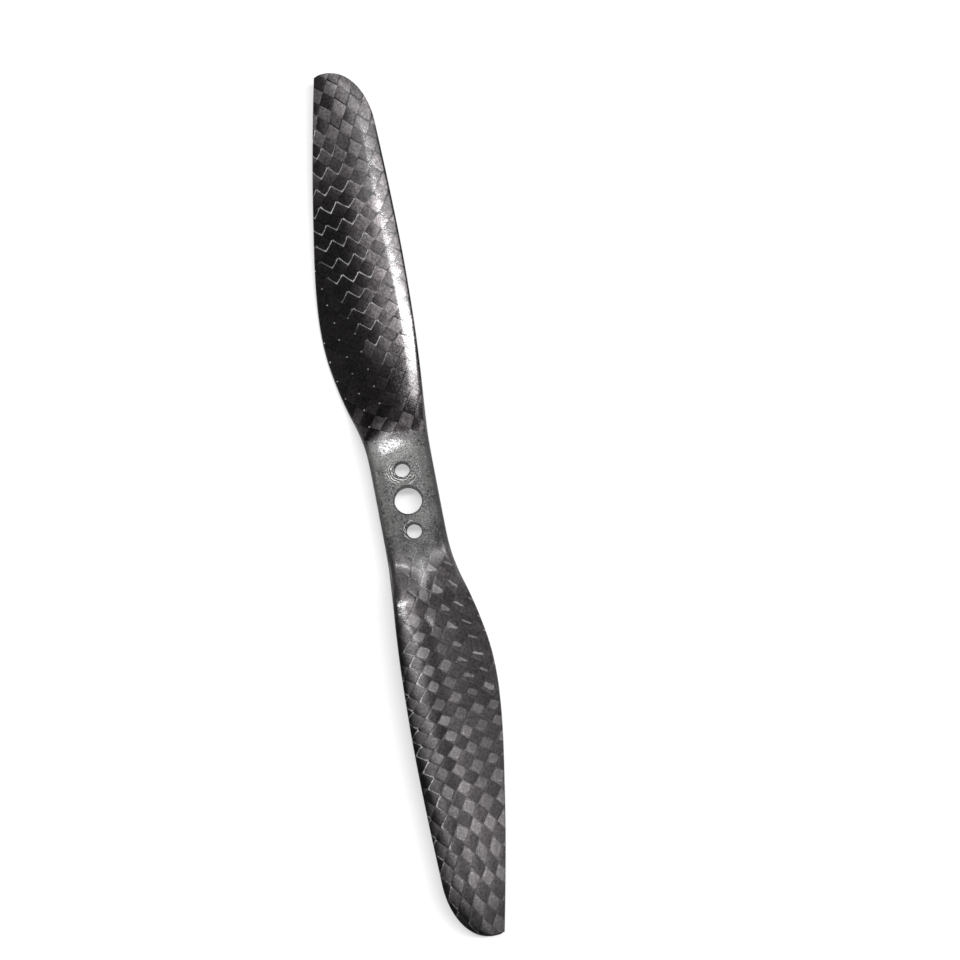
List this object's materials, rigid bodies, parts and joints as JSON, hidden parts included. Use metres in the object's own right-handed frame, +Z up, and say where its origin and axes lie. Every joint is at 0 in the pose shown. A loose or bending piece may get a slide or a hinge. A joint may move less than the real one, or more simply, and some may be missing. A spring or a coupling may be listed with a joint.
{
  "type": "propeller",
  "caption": "Fixed-pitch carbon fibre propeller with slender twisted blades, a flat hub, a central shaft bore and a small screw hole on each side of it.",
  "frame": {"origin": "centre of the shaft bore on the hub's lower face, which seats on the motor", "axes": "+Z up the shaft, away from the motor; +X along one blade, whose leading edge is on -Y"},
  "size_m": [0.127, 0.0156, 0.0064],
  "materials": {
    "woven_carbon": "clear gloss over plain-weave carbon tows",
    "tow_carbon": "satin bundle of carbon filaments",
    "flat_carbon": "satin unidirectional carbon",
    "hub_carbon": "matte cut laminate"
  },
  "bodies": {
    "root": {"upper_skin": "woven_carbon", "lower_skin": "woven_carbon", "leading_edge_roving_a": "tow_carbon", "leading_edge_roving_b": "tow_carbon", "ud_ply_1": "flat_carbon", "ud_ply_2": "flat_carbon", "ud_ply_3": "flat_carbon", "ud_ply_4": "flat_carbon", "ud_ply_5": "flat_carbon", "ud_ply_6": "flat_carbon", "ud_ply_7": "flat_carbon", "ud_ply_8": "flat_carbon", "hub_pad_1": "hub_carbon", "hub_pad_2": "hub_carbon", "hub_pad_3": "hub_carbon", "hub_pad_4": "hub_carbon", "hub_pad_5": "hub_carbon", "hub_pad_6": "hub_carbon", "hub_pad_7": "hub_carbon", "hub_pad_8": "hub_carbon", "hub_pad_9": "hub_carbon"}
  },
  "joints": []
}
